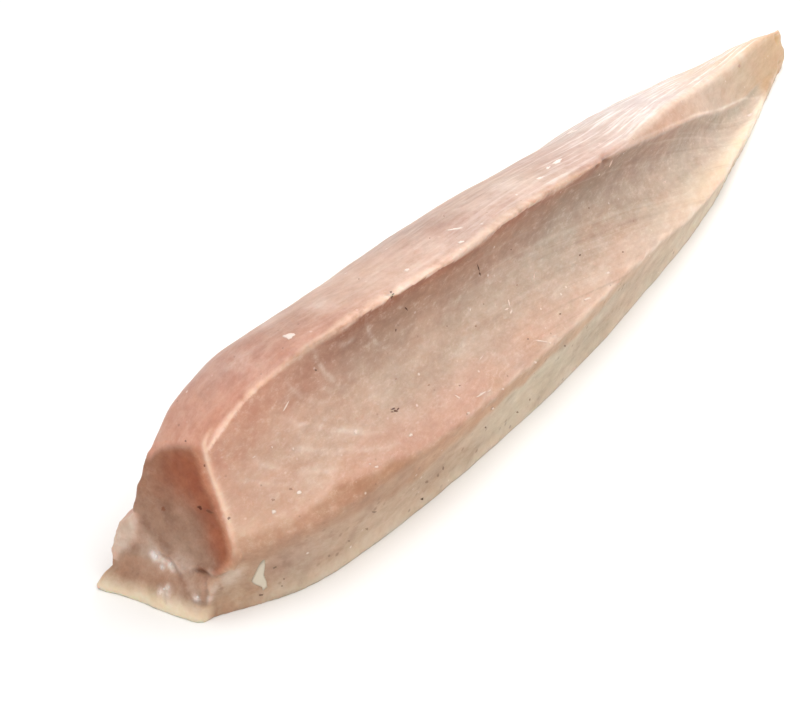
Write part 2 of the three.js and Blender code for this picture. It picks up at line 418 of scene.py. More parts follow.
fibres = np.stack([at.along / RIB_LENGTH, around / RIB_WAVE, flat], 1)
ribbed = skin * (1 - facet) * (RIBS_LEAST + (1 - RIBS_LEAST) * smooth_step(*RIBS_GROW, at.place))
lift += RIB_RISE * noise_field(fibres, 4) * ribbed
sweeps = np.stack([sweep_run / SWEEP_WAVE, below_rim / SWEEP_LENGTH, flat], 1)
lift += SWEEP_RISE * noise_field(sweeps, 5) * dish

torn = TORN_RISE * noise_field(points / TORN_WAVE, 6) + TORN_GRIT_RISE * noise_field(points / TORN_GRIT, 7)
lift += torn * cut

# The knife left a burr along the rim, which leans out over the dish. Above it a rough pale band shows: fat,
# painted lighter as a highlight along the rim's edge.
BURR_MEAN = 0.6
BURR_SWAY = 0.7
BURR_STARTS = (0.07, 0.13)
BURR_ENDS = (0.47, 0.37)
BURR_LEAN = 0.6
BURR_LIFT = 0.5
FAT_HIGHLIGHT_WIDTH = 2.4 * MM
FAT_HIGHLIGHT_SWAY = 0.45
FAT_HIGHLIGHT_EDGE = (1.4, 0.4)
FAT_HIGHLIGHT_ENDS = (0.48, 0.38)
FAT_HIGHLIGHT_PLACES = [0.005, 0.02, 0.04, 0.09, 0.13, 0.3, 0.38, 0.47]
FAT_HIGHLIGHT_SHARES = [0.25, 0.5, 0.6, 0.5, 1.0, 1.1, 0.7, 0.2]
FAT_HIGHLIGHT_DROP_EDGE = (1.4, 0.6)
FAT_HIGHLIGHT_DROP_PLACES = [0.05, 0.08, 0.12, 0.14]
FAT_HIGHLIGHT_DROPS = np.array([0.5, 1.8, 2.0, 0.5]) * MM
rim_run = np.stack([at.along, flat, flat], 1)
burr = BURR_MEAN + BURR_SWAY * noise_field(rim_run / BURR_WAVE, 8)
burr += BURR_SWAY * noise_field(rim_run / BURR_TOOTH, 10)
burr *= BURR_RISE * bell(at.rim_gap, BURR_REACH) * (1 - cut)
burr *= smooth_step(*BURR_STARTS, at.place) * smooth_step(*BURR_ENDS, at.place)
lean_y = -BURR_LEAN * at.up_z
lean_z = BURR_LIFT + BURR_LEAN * at.up_y
above_rim = np.clip(at.rim_gap * np.sign(at.over_rim), 0, None)
fat_highlight_width = FAT_HIGHLIGHT_WIDTH * np.interp(at.place, FAT_HIGHLIGHT_PLACES, FAT_HIGHLIGHT_SHARES)
fat_highlight_width *= 1 + FAT_HIGHLIGHT_SWAY * noise_field(rim_run / BURR_WAVE, 12)
fat_highlight_drop = np.interp(at.place, FAT_HIGHLIGHT_DROP_PLACES, FAT_HIGHLIGHT_DROPS)
fat_and_rim_highlight = smooth_step(*FAT_HIGHLIGHT_EDGE, above_rim / fat_highlight_width) * smooth_step(*FAT_HIGHLIGHT_ENDS, at.place) * (1 - brown)
fat_and_rim_highlight *= smooth_step(*FAT_HIGHLIGHT_DROP_EDGE, (at.rim_gap - above_rim) / fat_highlight_drop)
lift += FAT_GRIT_RISE * noise_field(points / FAT_GRIT, 13) * fat_and_rim_highlight

# The split across the head cut, by the picture's column and row and its depth in millimetres. The broken
# meat above it stands out over it in a lip. Three short cracks run down and across the block below it.
SPLIT = [
    (130, 554, 0.2), (142, 556, 0.2), (152, 556, 0.2), (160, 550, 0.3), (168, 557, 0.5), (174, 560, 0.45),
    (177, 567, 0.5), (182, 575, 0.5), (189, 575, 0.4), (195, 570, 0.9), (202, 570, 1.4), (209, 573, 0.9),
    (214, 576, 0.5), (223, 574, 0.7), (231, 569, 0.4),
]
CRACKS = [
    SPLIT,
    [(206, 578, 0.5), (207, 590, 0.7), (207, 603, 0.6)],
    [(194, 599, 0.3), (201, 601, 0.7), (208, 603, 0.8)],
    [(168, 592, 0.3), (170, 599, 0.5)],
]
SPLIT_WIDTH = 0.7 * MM
LIP_RISE = 1.2 * MM
LIP_REACH = 5 * MM
LIP_EDGE = (-0.8 * MM, 0.5 * MM)
LIP_ENDS = (20 * MM, 8 * MM)
crack = flat
for path in CRACKS:
    gap, depth_mm = drawn(path)
    crack = np.maximum(crack, depth_mm * bell(gap, SPLIT_WIDTH))
split_line = np.array([on_loin(column, row)[0] for column, row, _ in reversed(SPLIT)])
above_split = points[:, 2] - np.interp(points[:, 1], split_line[:, 1], split_line[:, 2])
lip = np.exp(-np.clip(above_split, 0, None) / LIP_REACH) * smooth_step(*LIP_EDGE, above_split)
lip *= LIP_RISE * smooth_step(*LIP_ENDS, points[:, 1])
lift += (lip - crack * MM) * cut

# Clumps of frosted crumbs stick out along the split and on the block, by the picture's column and row, with
# their radius and rise in millimetres and their strength.
CRUST = [
    (156, 556, 1.3, 0.9, 1.0), (154, 552, 0.9, 0.4, 0.5), (160, 559, 0.9, 0.5, 0.5),
    (164, 561, 0.8, 0.5, 0.6), (162, 567, 0.7, 0.4, 0.6), (171, 565, 1.0, 0.6, 0.8),
    (169, 561, 0.9, 0.3, 0.4), (173, 570, 0.8, 0.4, 0.4), (181, 568, 1.6, 0.5, 0.2),
    (178, 560, 1.8, 0.4, 0.15), (164, 589, 1.1, 0.6, 0.8), (169, 586, 0.9, 0.5, 0.7),
    (171, 591, 0.8, 0.3, 0.5), (198, 597, 1.0, 0.5, 0.8), (193, 569, 1.2, 0.3, 0.15),
    (212, 571, 1.2, 0.3, 0.15), (210, 598, 1.0, 0.3, 0.4), (214, 589, 1.2, 0.2, 0.2),
]
crust = flat
for column, row, radius_mm, rise_mm, strength in CRUST:
    clump = bell(np.linalg.norm(points - on_loin(column, row)[0], axis=1), radius_mm * MM)
    lift += rise_mm * MM * clump
    crust = np.maximum(crust, strength * clump)

# Nicks in the rim and the tip, by the picture's column and row, with their radius and depth in millimetres
NICKS = [
    (391, 294, 1.8, 1.4), (606, 160, 2.2, 1.4), (598, 166, 1.2, 0.7), (500, 222, 1.5, 0.4),
    (777, 38, 2.0, 2.4), (780, 66, 2.4, 1.4),
]
for column, row, radius_mm, depth_mm in NICKS:
    gap = np.linalg.norm(points - on_loin(column, row)[0], axis=1)
    lift -= depth_mm * MM * bell(gap, radius_mm * MM)

# The membranes between the muscle blocks show as pale arcs in the dish. Near the tip a thin raised line is
# all that is left of the rim, painted pale as a highlight on its edge. Both are drawn by the picture's column
# and row, with their strength.
ARCS = [
    [(366, 322, 0.2), (370, 334, 0.6), (376, 343, 0.7), (385, 348, 0.5), (398, 350, 0.1)],
    [(338, 344, 0.2), (346, 346, 0.8), (353, 340, 0.5)],
    [(314, 350, 0.3), (318, 361, 1.0), (325, 372, 0.9), (333, 379, 0.7), (341, 390, 0.2)],
    [(287, 380, 0.3), (292, 389, 0.8), (301, 396, 1.0), (318, 401, 0.7), (334, 403, 0.2)],
    [(281, 417, 0.3), (300, 424, 0.8), (330, 428, 1.0), (356, 432, 0.8), (381, 432, 0.3)],
    [(267, 440, 0.2), (290, 447, 0.6), (335, 452, 0.9), (379, 449, 0.7), (404, 444, 0.2)],
    [(253, 455, 0.2), (262, 465, 0.8), (290, 471, 0.8), (326, 472, 0.8), (350, 468, 0.2)],
    [(243, 480, 0.2), (270, 484, 0.5), (315, 484, 0.4), (340, 480, 0.1)],
]
ARC_WIDTH = 0.8 * MM
ARC_RISE = 0.08 * MM
arcs = flat
for path in ARCS:
    gap, strength = drawn(path)
    arcs = np.maximum(arcs, strength * bell(gap, ARC_WIDTH))
arcs = arcs * dish
TAIL_LINE = [
    (608, 159, 0.1), (640, 139, 0.2), (666, 128, 0.4), (695, 115, 0.8), (721, 109, 1), (736, 102, 0.9),
    (745, 98, 0.7), (757, 98, 0.5), (766, 95, 0.1),
]
TAIL_LINE_WIDTH = 0.55 * MM
TAIL_LINE_RISE = 0.15 * MM
gap, strength = drawn(TAIL_LINE)
tail_line_highlight = strength * bell(gap, TAIL_LINE_WIDTH)
lift += ARC_RISE * arcs + TAIL_LINE_RISE * tail_line_highlight

# The foot of the head cut spreads into a thin lip, longest at the skin side, and the loin's weight sets its
# lower edge down flat.
FOOT_LIP = 1.8 * MM
FOOT_LIP_HEIGHT = (9 * MM, 1.5 * MM)
FOOT_SWAY = 1.2 * MM
FOOT_RAG = 0.9 * MM
FOOT_GLOW_STRIP = 4 * MM
FOOT_GLOW_STRIP_EDGE = 3 * MM
FLANK_SIDE = (5 * MM, 22 * MM)
FLANK_SPREAD = 0.8
SET_DOWN_TURN = (-0.05, -0.4)
SET_DOWN_HEIGHT = (6 * MM, 4 * MM)
LIES_FLAT = 0.5
foot_waver = FOOT_SWAY * noise_field(points / LUMP_WAVE, 11)
foot_waver += FOOT_RAG * noise_field(points / TORN_WAVE, 14)
foot_height = at.z + foot_waver
foot = cut * smooth_step(*FOOT_LIP_HEIGHT, foot_height)
# A painted glow: the lowest few millimetres of the head cut are painted pale cream, as light coming through
# the thin foot from below.
foot_glow_strip = cut * smooth_step(FOOT_GLOW_STRIP + FOOT_GLOW_STRIP_EDGE, FOOT_GLOW_STRIP - FOOT_GLOW_STRIP_EDGE, foot_height)
set_down = smooth_step(*SET_DOWN_TURN, normals[:, 2]) * smooth_step(*SET_DOWN_HEIGHT, at.z)
to_flank = smooth_step(*FLANK_SIDE, at.y)

points += normals * (lift * (1 - under))[:, None]
points[:, 0] -= FOOT_LIP * foot * (1 + FLANK_SPREAD * to_flank)
points[:, 1] += FOOT_LIP * foot * to_flank + burr * lean_y
points[:, 2] += burr * lean_z
points[:, 0] -= TIP_RAG * smooth_step(TIP_FROM, 1, at.place) * np.abs(noise_field(points / TIP_WAVE, 9))
points[:, 2] = np.where(under > LIES_FLAT, 0, np.maximum(points[:, 2], 0)) * (1 - set_down)
loin.data.vertices.foreach_set("co", points.ravel())
loin.data.update()
bpy.ops.object.shade_smooth()
bpy.context.view_layer.update()

# Soft stains, and one patch of painted light on the flank, by the picture's column and row, with their radius
# in millimetres and their strength
STAINS = {
    "blush": [
        (180, 466, 8, 0.9), (192, 466, 6, 0.9), (198, 484, 6, 0.95), (206, 505, 4, 0.95),
        (214, 522, 4, 0.9), (221, 538, 5, 0.9), (226, 552, 5, 1.0), (229, 563, 3.5, 0.9),
        (163, 470, 7, 0.2), (221, 574, 1.6, 0.9),
    ],
    "frosted": [
        (131, 521, 3, 0.4), (129, 534, 2, 0.4), (157, 555, 2.5, 0.4), (165, 564, 2.5, 0.4),
        (178, 563, 3.5, 0.35), (190, 562, 4, 0.2), (147, 549, 4, 0.4), (228, 579, 3, 0.5),
        (236, 574, 2.5, 0.5), (216, 588, 3, 0.4), (190, 589, 4, 0.3), (120, 541, 3, 0.9),
    ],
    # Painted light: the thin flank beside the head cut, painted pale as if lit through from below.
    "lit_pale_flank": [(128, 522, 4, 0.9), (126, 533, 4, 0.9), (122, 545, 4, 0.9), (117, 558, 3, 0.5)],
    "mauve": [(300, 558, 9, 0.6), (282, 563, 7, 0.5), (320, 548, 6, 0.3)],
    "smudged": [
        (335, 530, 4, 0.5), (360, 520, 4, 0.4), (350, 538, 3, 0.5), (372, 508, 4, 0.5), (395, 495, 4, 0.4),
        (430, 478, 4, 0.5), (442, 468, 3, 0.5), (404, 474, 4, 0.5), (366, 500, 4, 0.5),
    ],
    "raw": [
        (565, 322, 7, 0.5), (534, 353, 7, 0.9), (500, 384, 7, 0.8), (440, 428, 8, 0.3), (255, 440, 9, 0.3),
        (262, 530, 8, 0.15),
    ],
    "film": [
        (317, 305, 5, 0.6), (267, 322, 6, 0.5), (243, 362, 5, 0.4), (420, 245, 8, 0.4),
        (505, 185, 9, 0.4), (470, 205, 8, 0.4), (347, 343, 4, 0.4), (440, 320, 14, 0.4),
        (600, 215, 16, 0.4), (360, 440, 12, 0.3), (470, 360, 12, 0.3),
    ],
    "tan": [
        (772, 40, 10, 0.7), (776, 58, 9, 0.5), (762, 60, 14, 0.3), (740, 66, 2.2, 0.9), (764, 78, 10, 0.2),
    ],
}
stain_shares = {}
for stain, spots in STAINS.items():
    kept = np.ones(len(points))
    for column, row, radius_mm, strength in spots:
        gap = np.linalg.norm(points - on_loin(column, row)[0], axis=1)
        kept *= 1 - strength * bell(gap, radius_mm * MM)
    stain_shares[stain] = 1 - kept
stain_shares["blush"] *= brown

# A raw fringe follows the lower rim: its top and bottom, up the dish from the rim, at places along the loin
FRINGE_PLACES = [0.015, 0.043, 0.07, 0.085, 0.12, 0.15, 0.175, 0.26, 0.38, 0.5]
FRINGE_TOP = np.array([6, 4.5, 7, 5.5, 2.5, 0, -0.8, -0.6, -0.8, -1]) * MM
FRINGE_FOOT = np.array([-3, -2.5, -3, -5, -8, -8.5, -7, -5.5, -5, -4]) * MM
FRINGE_STRENGTH = [0.6, 0.6, 0.8, 1.0, 1.0, 1.0, 1.0, 1.0, 0.9, 0.3]
FRINGE_EDGE = 1.5 * MM
FRINGE_SWAY = 1.4 * MM
FRINGE_RAG = 1.0 * MM
fringe_waver = FRINGE_SWAY * noise_field(points / LUMP_WAVE, 15)
fringe_waver += FRINGE_RAG * noise_field(points / TORN_WAVE, 16)
over_fringe = at.climb - np.interp(at.place, FRINGE_PLACES, FRINGE_TOP) - fringe_waver
over_foot = at.climb - np.interp(at.place, FRINGE_PLACES, FRINGE_FOOT) - fringe_waver
fringe = smooth_step(FRINGE_EDGE, -FRINGE_EDGE, over_fringe)
fringe *= smooth_step(-FRINGE_EDGE, FRINGE_EDGE, over_foot)
fringe *= front * np.interp(at.place, FRINGE_PLACES, FRINGE_STRENGTH)


def shown_between(start, full, fading, gone):
    """1 between two places along the loin, and nothing before the first or past the last."""
    return smooth_step(start, full, at.place) * smooth_step(gone, fading, at.place)


# What the material reads at each point: shares of the surfaces and marks, of painted light and shade, and
# ways along the fibres. A pair says where a share starts and where it is whole, and a run has four places
# along the loin.
SIDE_GLOW_OUT, SIDE_GLOW_REACH = 0.2 * MM, 0.7 * MM
SIDE_GLOW_HEIGHT, SIDE_GLOW_DEPTH = (20 * MM, 34 * MM), (9 * MM, 4 * MM)
WARM_PLACE, WARM_REACH, WARM_HEIGHT = 0.42, 0.3, (12 * MM, 17 * MM)
FLUSH_REACH, FLUSH_ENDS = (13 * MM, 2 * MM), (0.2, 0.02)
STREAK_PLACES, STREAK_SHARES = [0.05, 0.2, 0.35, 0.6], [0.05, 0.12, 0.28, 1]
LOW_DISH, HIGH_DISH = (0.42, 0.08), (0.5, 0.9)
BAND_FOOT_HEIGHT, BAND_FOOT_STARTS = (9 * MM, 1 * MM), (0.01, 0.06)
LOW_RIM_UP, LOW_RIM_REACH, LOW_RIM_STARTS = 1.2 * MM, 1 * MM, (0.17, 0.26)
UNDER_RIM_DROP, UNDER_RIM_REACH, UNDER_RIM_RUN = 1.4 * MM, 2.2 * MM, (0.085, 0.13, 0.4, 0.49)
LOW_CUT, BLOCK_EDGE = (34 * MM, 18 * MM), (1 * MM, -1 * MM)
RIDGE_REACH, RIDGE_RUN = 1.8 * MM, (0.47, 0.6, 0.86, 0.9)
SWEEP_STARTS, SWEEP_BELOW = (0.15, 0.4), (0, 4 * MM)
SPLIT_DEPTHS, SPLIT_SHARES = [0.2, 0.6, 1.2], [0, 0.35, 1]
# Painted glow at the head cut's side edge: a pale line on the edge and a warm orange band just inside it,
# where light comes through the flesh.
side_glow = bell(inside + SIDE_GLOW_OUT, SIDE_GLOW_REACH) * smooth_step(*SIDE_GLOW_HEIGHT, at.z)
side_glow *= smooth_step(*SIDE_GLOW_DEPTH, at.along)
warm_edge_glow = cut * bell(inside / side_fade - WARM_PLACE, WARM_REACH)
warm_edge_glow *= smooth_step(0, CUT_FADE, below_top)
warm_edge_glow *= smooth_step(*WARM_HEIGHT, at.z)
point_shares = {
    "lengthwise": at.place,
    "flush": skin * smooth_step(*FLUSH_REACH, at.rim_gap) * smooth_step(*FLUSH_ENDS, at.place),
    # Pale streaks along the fibres, stronger towards the tail: partly the fibres' own streaks, partly painted
    # sheen from the light behind the tail.
    "streaky": skin * (1 - facet) * np.interp(at.place, STREAK_PLACES, STREAK_SHARES),
    "facet": facet,
    "dish": dish,
    # The lower dish faces up, so its colour is painted lighter: painted light, strongest towards the tail
    # end.
    "lit_dish_low": dish * smooth_step(*LOW_DISH, across),
    # The upper dish under the rim: the flesh's own greyer tone, painted darker as the shade under the
    # overhanging rim.
    "shaded_dish_high": dish * smooth_step(*HIGH_DISH, across),
    "band": band,
    # Painted light: the band's lowest edge is painted pale, as if lit from below through the thin edge.
    "band_foot_light": band * smooth_step(*BAND_FOOT_HEIGHT, at.z) * smooth_step(*BAND_FOOT_STARTS, at.place),
    "fringe": fringe,
    # A painted highlight: a pale line on the dish just above the lower rim's fringe.
    "rim_low_highlight": front * bell(over_fringe - LOW_RIM_UP, LOW_RIM_REACH) * smooth_step(*LOW_RIM_STARTS, at.place),
    # A painted shadow: a brown line just under the rim, where the rim and its burr overhang the dish.
    "under_rim_shadow": dish * bell(below_rim - UNDER_RIM_DROP, UNDER_RIM_REACH) * shown_between(*UNDER_RIM_RUN),
    "fat_and_rim_highlight": fat_and_rim_highlight,
    "cut": brown,
    "cut_low": brown * smooth_step(*LOW_CUT, at.z),
    "block": brown * smooth_step(*BLOCK_EDGE, above_split),
    "foot": foot_glow_strip,
    "side_glow": side_glow,
    "warm_edge_glow": warm_edge_glow,
    # A painted highlight along the ridge between the streaky top and the facet near the tail.
    "ridge_highlight": skin * bell(at.ridge_gap, RIDGE_REACH) * shown_between(*RIDGE_RUN),
    "arcs": arcs,
    "tail_line_highlight": tail_line_highlight,
    "sweeping": dish * smooth_step(*SWEEP_STARTS, at.place) * smooth_step(*SWEEP_BELOW, below_rim),
    # The split and cracks are painted darker the deeper they are: painted shade inside them.
    "split_shade": cut * np.interp(crack, SPLIT_DEPTHS, SPLIT_SHARES),
    "crust": crust,
    "uncut": 1 - cut,
    **stain_shares,
}
point_ways = {
    "drawn_way": drawn_out,
    "fibre_way": np.stack([at.along, around, flat], 1),
    "sweep_way": np.stack([sweep_run, below_rim, flat], 1),
}
for name, values in point_shares.items():
    attribute = loin.data.attributes.new(name, "FLOAT", "POINT")
    attribute.data.foreach_set("value", values)
for name, way in point_ways.items():
    attribute = loin.data.attributes.new(name, "FLOAT_VECTOR", "POINT")
    attribute.data.foreach_set("vector", way.ravel())


# Frozen albacore flesh, skinned and trimmed with a knife. It scatters light under a dull, slightly wet
# skin of frost: pinkish tan outside, greyer and browner on the trimmed face. Shade under the rim and a cream
# glow where it is thin are painted into its colour.
def linear(hex_colour):
    """An sRGB hex colour as linear red, green, blue and alpha."""
    shares = [int(hex_colour[i:i + 2], 16) / 255 for i in (1, 3, 5)]
    return [c / 12.92 if c <= 0.04045 else ((c + 0.055) / 1.055) ** 2.4 for c in shares] + [1.0]


def add_node(material, kind, sockets, stops=(), **settings):
    """Adds a node: its settings, its sockets' values or links, and a colour ramp's stops."""
    node = material.node_tree.nodes.new(kind)
    for name, value in settings.items():
        setattr(node, name, value)
    for name, value in sockets.items():
        if isinstance(value, bpy.types.NodeSocket):
            material.node_tree.links.new(value, node.inputs[name])
        else:
            node.inputs[name].default_value = value
    for i, (position, colour) in enumerate(stops):
        element = node.color_ramp.elements[i] if i < 2 else node.color_ramp.elements.new(position)
        element.position = position
        element.color = linear(colour)
    return node.outputs


flesh = bpy.data.materials.new("frozen_albacore_flesh")
flesh.use_nodes = True
flesh.node_tree.nodes.clear()
ways = {
    "object": add_node(flesh, "ShaderNodeTexCoord", {})["Object"],
    "drawn": add_node(flesh, "ShaderNodeAttribute", {}, attribute_name="drawn_way")["Vector"],
    "fibre": add_node(flesh, "ShaderNodeAttribute", {}, attribute_name="fibre_way")["Vector"],
    "sweep": add_node(flesh, "ShaderNodeAttribute", {}, attribute_name="sweep_way")["Vector"],
}

# Patterns, by the way they follow, their sizes along and across it, their finer layers and how strong those
# are: soft blotches, smaller clouds and a fine frosty grain, all drawn out along the loin, then the fibres'
# streaks and their sweep in the dish.
PATTERNS = {
    "blotch": ("object", 34 * MM, 18 * MM, 3.0, 0.6),
    "cloud": ("drawn", 10 * MM, 5.5 * MM, 4.0, 0.6),
    "grain": ("drawn", 3.2 * MM, 2.2 * MM, 5.0, 0.8),
    "streak": ("fibre", 45 * MM, 1.6 * MM, 3.0, 0.6),
    "sweep": ("sweep", 26 * MM, 40 * MM, 3.0, 0.6),
}
pattern = {}
for name, (way, length, width, detail, roughness) in PATTERNS.items():
    stretch = (1 / length, 1 / width, 1 / width)
    sockets = {0: ways[way], 1: stretch}
    place = add_node(flesh, "ShaderNodeVectorMath", sockets, operation="MULTIPLY")["Vector"]
    sockets = {"Vector": place, "Scale": 1.0, "Detail": detail, "Roughness": roughness}
    pattern[name] = add_node(flesh, "ShaderNodeTexNoise", sockets)["Fac"]

# Each tone runs from the head to the tail.
TONES = {
    "skin": [
        (0.0, "#d8a591"), (0.05, "#c39e91"), (0.12, "#b79180"), (0.19, "#d0af9e"), (0.27, "#b99c8f"),
        (0.36, "#c1a291"), (0.42, "#bd9c8e"), (0.53, "#ccb6ab"), (0.62, "#d3bfb8"), (0.8, "#dac1ac"),
        (1.0, "#e2c4a4"),
    ],
    "facet": [(0.47, "#b3876d"), (0.6, "#c8a590"), (0.75, "#c8ae9a"), (1.0, "#cbac86")],
    # The lower dish: painted light where it faces up, brightest towards the tail end.
    "lit_dish_low": [
        (0.0, "#e2c3ad"), (0.13, "#d1a997"), (0.25, "#d1b1a1"), (0.36, "#d8bba9"), (0.48, "#cfb5a4"),
        (0.62, "#e6ceb6"), (0.75, "#f6e2c8"), (0.85, "#faecd6"),
    ],
    "dish_mid": [
        (0.0, "#d6af9b"), (0.08, "#cbb1a0"), (0.17, "#c5ac9b"), (0.26, "#c2ae9e"), (0.36, "#beaa9a"),
        (0.47, "#b79f8e"), (0.58, "#c0ad9c"), (0.7, "#c2ae9e"), (0.85, "#cdbcab"),
    ],
    # The upper dish, painted darker as the shade that falls under the overhanging rim.
    "shaded_dish_high": [
        (0.04, "#cea28e"), (0.12, "#a67d69"), (0.2, "#a8816a"), (0.31, "#a37e69"), (0.44, "#927b68"),
        (0.56, "#a78876"), (0.74, "#ae9c8a"), (0.85, "#bcae9c"),
    ],
    # The pale band along the rim: fat, with a painted highlight on the rim's edge.
    "fat_and_rim_highlight": [
        (0.0, "#f6dece"), (0.04, "#f0cfba"), (0.08, "#cfae9a"), (0.13, "#e2c4b0"), (0.18, "#ebd1c0"),
        (0.29, "#d9bfae"), (0.42, "#d2b099"),
    ],
    # The band: its own greyish tone, painted lighter towards the tail against the shade near the floor.
    "band": [
        (0.0, "#b6947a"), (0.05, "#bfa58e"), (0.1, "#caaf98"), (0.17, "#c0a48c"), (0.27, "#c8bba5"),
        (0.36, "#c0b09a"), (0.46, "#bfa992"), (0.6, "#cdb9a0"), (0.75, "#e4d2b8"),
    ],
    "fringe": [(0.05, "#b0866a"), (0.1, "#b08c70"), (0.2, "#bd8e6c"), (0.45, "#c59c7c")],
}
share = {}
for name in ("lengthwise", "uncut"):
    share[name] = add_node(flesh, "ShaderNodeAttribute", {}, attribute_name=name)["Fac"]

# The layers of colour, from the flesh outwards: the share of the surface, its strength, the pattern that
# breaks it up with the range in which it shows, and the tone or colour. Several layers are painted light and
# shade: highlights on the rims and the ridge, glows at thin edges, shade under the rim and in the split.
LAYERS = [
    ("flush", 0.4, None, "#cf9780"),
    # Near-white streaks: fibre streaks painted lighter as sheen towards the tail.
    ("streaky", 0.85, ("streak", 0.46, 0.7), "#fbf3ee"),
    ("streaky", 0.5, ("streak", 0.44, 0.28), "#cfa297"),
    ("film", 0.7, ("cloud", 0.3, 0.6), "#e6d3c8"),
    ("facet", 1.0, None, "facet"),
    ("dish", 1.0, None, "dish_mid"),
    ("lit_dish_low", 1.0, None, "lit_dish_low"),
    ("shaded_dish_high", 1.0, None, "shaded_dish_high"),
    ("band", 1.0, None, "band"),
    ("band_foot_light", 0.75, None, "#dfcfb9"),
    ("band", 0.2, ("cloud", 0.55, 0.72), "#d8c9b6"),
    ("band", 0.2, ("cloud", 0.47, 0.3), "#9c7a63"),
    ("mauve", 0.5, None, "#aa8f85"),
    ("fringe", 0.85, ("cloud", 0.2, 0.5), "fringe"),
    ("smudged", 0.9, ("cloud", 0.4, 0.58), "#8e6950"),
    ("rim_low_highlight", 0.6, ("cloud", 0.3, 0.6), "#efd6c4"),
    ("raw", 0.6, ("cloud", 0.3, 0.65), "#ba8e70"),
    ("lit_pale_flank", 0.9, None, "#c5b5a3"),
    ("cut", 1.0, None, "#a07a63"),
    ("cut_low", 0.8, None, "#a28672"),
    ("block", 0.8, None, "#ae8a72"),
    ("cut", 0.2, ("cloud", 0.54, 0.7), "#bfa294"),
    ("cut", 0.15, ("cloud", 0.47, 0.32), "#805844"),
    ("blush", 0.9, None, "#9c522e"),
    ("warm_edge_glow", 0.45, None, "#d2875e"),
    # Painted glow along the foot of the head cut.
    ("foot", 0.9, None, "#f0dfc6"),
    ("frosted", 0.8, ("cloud", 0.2, 0.5), "#e2d2c6"),
    # Painted shadow under the rim.
    ("under_rim_shadow", 0.75, None, "#9e664c"),
    ("fat_and_rim_highlight", 0.85, ("cloud", 0.2, 0.5), "fat_and_rim_highlight"),
    ("side_glow", 0.8, None, "#f4d6c0"),
    ("ridge_highlight", 0.65, None, "#f4dcc8"),
    ("arcs", 0.5, ("cloud", 0.25, 0.6), "#e4d5c9"),
    ("sweeping", 0.3, ("sweep", 0.5, 0.75), "#e4d5c8"),
    ("sweeping", 0.3, ("sweep", 0.48, 0.27), "#947b6c"),
    ("dish", 0.2, ("grain", 0.52, 0.7), "#eadbcf"),
    ("tail_line_highlight", 0.7, None, "#f4e6d8"),
    ("tan", 0.7, ("cloud", 0.2, 0.55), "#c29a70"),
    ("split_shade", 1.0, None, "#7c5138"),
    ("crust", 1.0, ("grain", 0.2, 0.42), "#f4ece8"),
]
# The sockets of a node that mixes two colours: the share, the colour under, the colour over and the result
MIX_SHARE, MIX_UNDER, MIX_OVER, MIX_RESULT = 0, 6, 7, 2
tone_of = {
    name: add_node(flesh, "ShaderNodeValToRGB", {"Fac": share["lengthwise"]}, stops=stops)["Color"]
    for name, stops in TONES.items()
}
tone = tone_of["skin"]
for name, strength, broken, colour in LAYERS:
    cover = add_node(flesh, "ShaderNodeAttribute", {}, attribute_name=name)["Fac"]
    amount = strength
    if broken:
        source, low, high = broken
        sockets = {"Value": pattern[source], "From Min": low, "From Max": high, "To Max": strength}
        amount = add_node(flesh, "ShaderNodeMapRange", sockets, interpolation_type="SMOOTHSTEP")["Result"]
    cover = add_node(flesh, "ShaderNodeMath", {0: cover, 1: amount}, operation="MULTIPLY")["Value"]
    over = tone_of[colour] if colour in tone_of else linear(colour)
    sockets = {MIX_SHARE: cover, MIX_UNDER: tone, MIX_OVER: over}
    tone = add_node(flesh, "ShaderNodeMix", sockets, data_type="RGBA")[MIX_RESULT]

# Blotches turn the flesh pinker or greyer, clouds and grain darker or lighter.
MOTTLES = [
    ("blotch", 0.3, 0.7, 0.6, "#c5b6b0", "#b5bcba"),
    ("cloud", 0.3, 0.7, 0.75, "#a8a4a2", "#cecccb"),
    ("grain", 0.32, 0.68, 0.65, "#a8a4a2", "#cccac9"),
]
for source, low, high, strength, first, second in MOTTLES:
    sockets = {"Value": pattern[source], "From Min": low, "From Max": high}
    turn = add_node(flesh, "ShaderNodeMapRange", sockets, interpolation_type="SMOOTHSTEP")["Result"]
    sockets = {MIX_SHARE: turn, MIX_UNDER: linear(first), MIX_OVER: linear(second)}
    shade = add_node(flesh, "ShaderNodeMix", sockets, data_type="RGBA")[MIX_RESULT]
    sockets = {MIX_SHARE: strength, MIX_UNDER: tone, MIX_OVER: shade}
    mix = add_node(flesh, "ShaderNodeMix", sockets, data_type="RGBA", blend_type="SOFT_LIGHT")
    tone = mix[MIX_RESULT]

